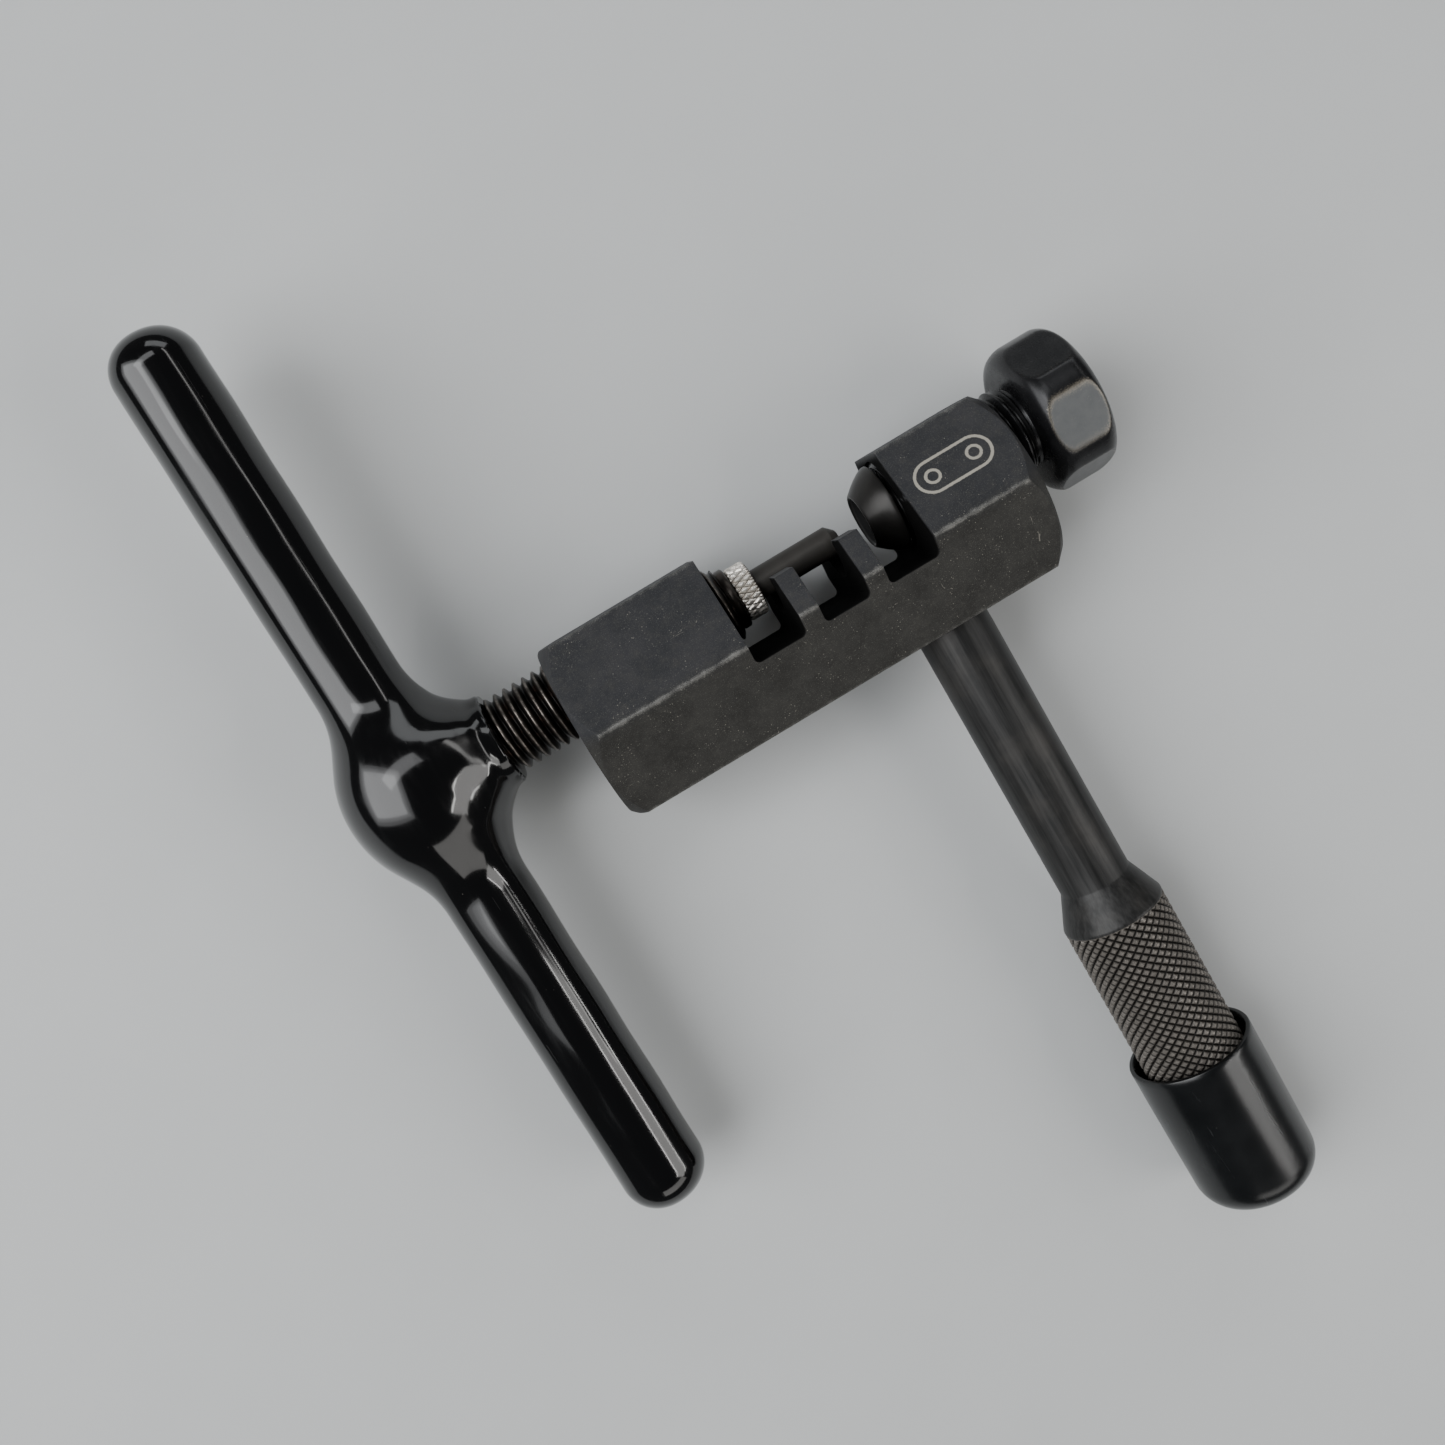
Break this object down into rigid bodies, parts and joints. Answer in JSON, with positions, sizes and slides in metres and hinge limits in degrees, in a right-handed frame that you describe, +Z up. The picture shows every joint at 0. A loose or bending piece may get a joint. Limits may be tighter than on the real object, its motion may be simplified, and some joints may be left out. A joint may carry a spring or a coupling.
{
  "type": "bicycle chain tool",
  "caption": "Hexagonal bar chain tool: T-handled driver screw with push pin, adjustable hex-head anvil, cradle walls and a knurled side lever.",
  "frame": {"origin": "on the driver axis at the middle of the working cradle wall, where the pushed chain rivet's middle lies", "axes": "+X along the driver axis towards the anvil, +Y out of the cradles' mouth and away from the side lever, +Z up"},
  "size_m": [0.0862, 0.1364, 0.0218],
  "materials": {
    "body_black_oxide": "black oxide steel, matte, worn bright on its edges",
    "screw_dark_steel": "dark oiled steel thread",
    "bar_steel": "plain bar, hidden under the coating",
    "dipped_vinyl": "glossy dipped vinyl",
    "pin_steel": "hardened, satin dark",
    "nickel_knurl": "nickel plated diamond knurl",
    "bolt_black_oxide": "semi-gloss black oxide, worn bronze on the head's edges",
    "cup_black_oxide": "turned and blackened",
    "lever_black_oxide": "satin black oxide, diamond knurled grip",
    "cap_rubber": "satin rubber, lightly scuffed"
  },
  "bodies": {
    "tool": {"tool_body": "body_black_oxide", "side_lever": "lever_black_oxide"},
    "pin": {"push_pin": "pin_steel"},
    "driver": {"driver_screw": "screw_dark_steel", "handle_bar": "bar_steel", "handle_coating": "dipped_vinyl", "pin_collar": "nickel_knurl"},
    "cup": {"anvil_cup": "cup_black_oxide"},
    "anvil": {"anvil_bolt": "bolt_black_oxide"},
    "cap": {"lever_cap": "cap_rubber"}
  },
  "joints": [
    {"name": "driver_feed", "type": "slide", "parent": "tool", "child": "pin", "axis": [1, 0, 0], "range_m": [-0.0144, 0.0041]},
    {"name": "driver_turn", "type": "hinge", "parent": "pin", "child": "driver", "pos_m": [-0.02, 0, 0], "axis": [1, 0, 0], "range_deg": [-4680, 1332]},
    {"name": "anvil_feed", "type": "slide", "parent": "tool", "child": "cup", "axis": [1, 0, 0], "range_m": [-0.0019, 0.0034]},
    {"name": "anvil_turn", "type": "hinge", "parent": "cup", "child": "anvil", "pos_m": [0.012, 0, 0], "axis": [1, 0, 0], "range_deg": [-612, 1080]},
    {"name": "cap_pull", "type": "slide", "parent": "tool", "child": "cap", "axis": [0, -1, 0], "range_m": [0, 0.016]}
  ],
  "couplings": [
    {"joint": "driver_feed", "follows": "driver_turn", "m_per_rad": 0.00017507},
    {"joint": "anvil_feed", "follows": "anvil_turn", "m_per_rad": 0.00017507}
  ]
}
